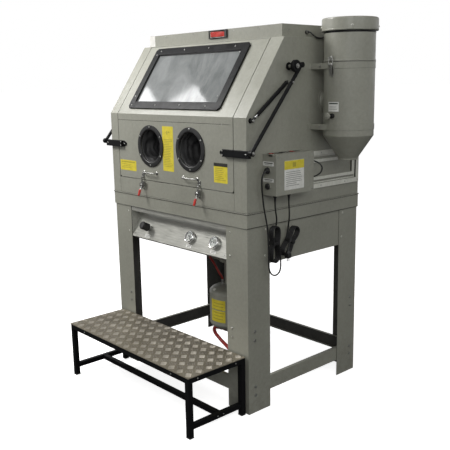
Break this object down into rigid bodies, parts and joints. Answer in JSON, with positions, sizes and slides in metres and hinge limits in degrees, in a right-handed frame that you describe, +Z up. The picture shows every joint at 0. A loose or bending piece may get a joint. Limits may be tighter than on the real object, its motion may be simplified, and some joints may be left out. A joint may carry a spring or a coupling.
{
  "type": "sandblast cabinet",
  "caption": "Floor-standing pressure blast cabinet with a lifting front door, gloved arm holes, side dust collector, hopper, pressure vessel and operator's step.",
  "frame": {"origin": "on the floor under the middle of the machine's outline, the step and collector included", "axes": "+X to the operator's right, +Y to the back, +Z up"},
  "size_m": [1.565, 1.309, 2.065],
  "materials": {
    "powder_coat": "satin warm light-grey powder coat, fine orange peel",
    "black_paint": "satin black enamel",
    "dark_steel": "dusty dark steel",
    "bright_steel": "brushed",
    "chrome": "polished",
    "tread_aluminium": "worn tread plate",
    "window_glass": "dusty, lightly frosted",
    "lamp_glass": "white fluorescent tube",
    "black_rubber": "matt black",
    "red_rubber": "satin red hose",
    "red_plastic": "glossy red",
    "black_plastic": "fine-textured black",
    "filter_paper": "pleated filter paper"
  },
  "bodies": {
    "cabinet": {"hopper": "powder_coat", "side_panel_left": "powder_coat", "side_panel_right": "powder_coat", "rear_roof_panel": "powder_coat", "lower_front_panel": "powder_coat", "light_box": "powder_coat", "leg_front_left": "powder_coat", "leg_front_right": "powder_coat", "leg_rear_left": "powder_coat", "leg_rear_right": "powder_coat", "skirt": "powder_coat", "rail_front": "powder_coat", "rail_rear": "powder_coat", "rail_left": "powder_coat", "rail_right": "powder_coat", "control_panel": "powder_coat", "pressure_pot": "powder_coat", "electrical_box": "powder_coat", "collector_drum": "powder_coat", "collector_head": "powder_coat", "work_grate": "dark_steel", "lamp_tube": "lamp_glass", "pressure_gauge": "chrome", "pot_gauge": "chrome", "power_plug": "black_plastic", "blast_hose": "red_rubber", "pot_air_hose": "red_rubber", "blast_gun": "bright_steel", "bench_frame": "black_paint", "tread_plate": "tread_aluminium", "filter_cartridge": "filter_paper", "socket_cord_feed": "black_rubber", "socket_cord_hank": "black_rubber", "socket_cord_return": "black_rubber", "power_cord_feed": "black_rubber", "power_cord_hank": "black_rubber"},
    "lift_arms": {"lift_arm_left": "black_paint", "lift_arm_right": "black_paint"},
    "door": {"door_upper_panel": "powder_coat", "door_lower_panel": "powder_coat", "window_frame": "black_paint", "window_glass": "window_glass", "glove_left": "black_rubber", "glove_right": "black_rubber", "door_bracket_left": "black_paint", "door_bracket_right": "black_paint"},
    "strut_rods": {"strut_rod_left": "chrome", "strut_rod_right": "chrome"},
    "strut_cylinders": {"strut_cylinder_left": "black_paint", "strut_cylinder_right": "black_paint"},
    "clamp_left": {"clamp_lever_left": "red_plastic"},
    "clamp_right": {"clamp_lever_right": "red_plastic"},
    "light_switch": {"light_rocker": "red_plastic"},
    "power_switch_1": {"power_rocker_1": "red_plastic"},
    "power_switch_2": {"power_rocker_2": "black_plastic"},
    "power_switch_3": {"power_rocker_3": "red_plastic"},
    "regulator": {"regulator_knob": "black_plastic"},
    "shaker": {"shaker_knob": "powder_coat"},
    "blower": {"blower_wheel": "dark_steel"},
    "latch": {"collector_latch": "chrome"}
  },
  "joints": [
    {"name": "door_lift", "type": "hinge", "parent": "cabinet", "child": "lift_arms", "pos_m": [-0.1185, 0.0455, 1.827], "axis": [-1, 0, 0], "range_deg": [0, 70]},
    {"name": "door_tilt", "type": "hinge", "parent": "lift_arms", "child": "door", "pos_m": [-0.1185, -0.2735, 1.409], "axis": [1, 0, 0], "range_deg": [0, 70]},
    {"name": "strut_swing", "type": "hinge", "parent": "cabinet", "child": "strut_rods", "pos_m": [-0.1185, -0.2315, 1.564], "axis": [1, 0, 0], "range_deg": [0, 17.67]},
    {"name": "strut_extend", "type": "slide", "parent": "strut_rods", "child": "strut_cylinders", "axis": [0, 0.8073, 0.5901], "range_m": [0, 0.0157]},
    {"name": "clamp_left_swing", "type": "hinge", "parent": "cabinet", "child": "clamp_left", "pos_m": [-0.3985, -0.276, 1.168], "axis": [-1, 0, 0], "range_deg": [0, 110]},
    {"name": "clamp_right_swing", "type": "hinge", "parent": "cabinet", "child": "clamp_right", "pos_m": [0.1135, -0.276, 1.168], "axis": [-1, 0, 0], "range_deg": [0, 110]},
    {"name": "light_rock", "type": "hinge", "parent": "cabinet", "child": "light_switch", "pos_m": [-0.0405, 0.0315, 2.017], "axis": [0, 0, -1], "range_deg": [0, 16]},
    {"name": "power_rock_1", "type": "hinge", "parent": "cabinet", "child": "power_switch_1", "pos_m": [0.5365, -0.1235, 1.397], "axis": [1, 0, 0], "range_deg": [0, 15]},
    {"name": "power_rock_2", "type": "hinge", "parent": "cabinet", "child": "power_switch_2", "pos_m": [0.5365, -0.0475, 1.397], "axis": [1, 0, 0], "range_deg": [0, 15]},
    {"name": "power_rock_3", "type": "hinge", "parent": "cabinet", "child": "power_switch_3", "pos_m": [0.5365, 0.0305, 1.397], "axis": [1, 0, 0], "range_deg": [0, 15]},
    {"name": "regulator_turn", "type": "hinge", "parent": "cabinet", "child": "regulator", "pos_m": [-0.4035, -0.22339, 0.89273], "axis": [0, -0.8899, 0.4562], "continuous": true},
    {"name": "shaker_pull", "type": "slide", "parent": "cabinet", "child": "shaker", "axis": [0, -1, 0], "range_m": [0, 0.03]},
    {"name": "blower_spin", "type": "hinge", "parent": "cabinet", "child": "blower", "pos_m": [0.6365, 0.3465, 1.95], "axis": [0, 0, 1], "continuous": true},
    {"name": "latch_swing", "type": "hinge", "parent": "cabinet", "child": "latch", "pos_m": [0.6295, 0.2015, 1.831], "axis": [-1, 0, 0], "range_deg": [0, 120]}
  ],
  "couplings": [
    {"joint": "door_tilt", "follows": "door_lift", "ratio": 1},
    {"joint": "strut_swing", "follows": "door_lift", "ratio": 0.2523},
    {"joint": "strut_extend", "follows": "door_lift", "m_per_rad": 0.0128}
  ]
}
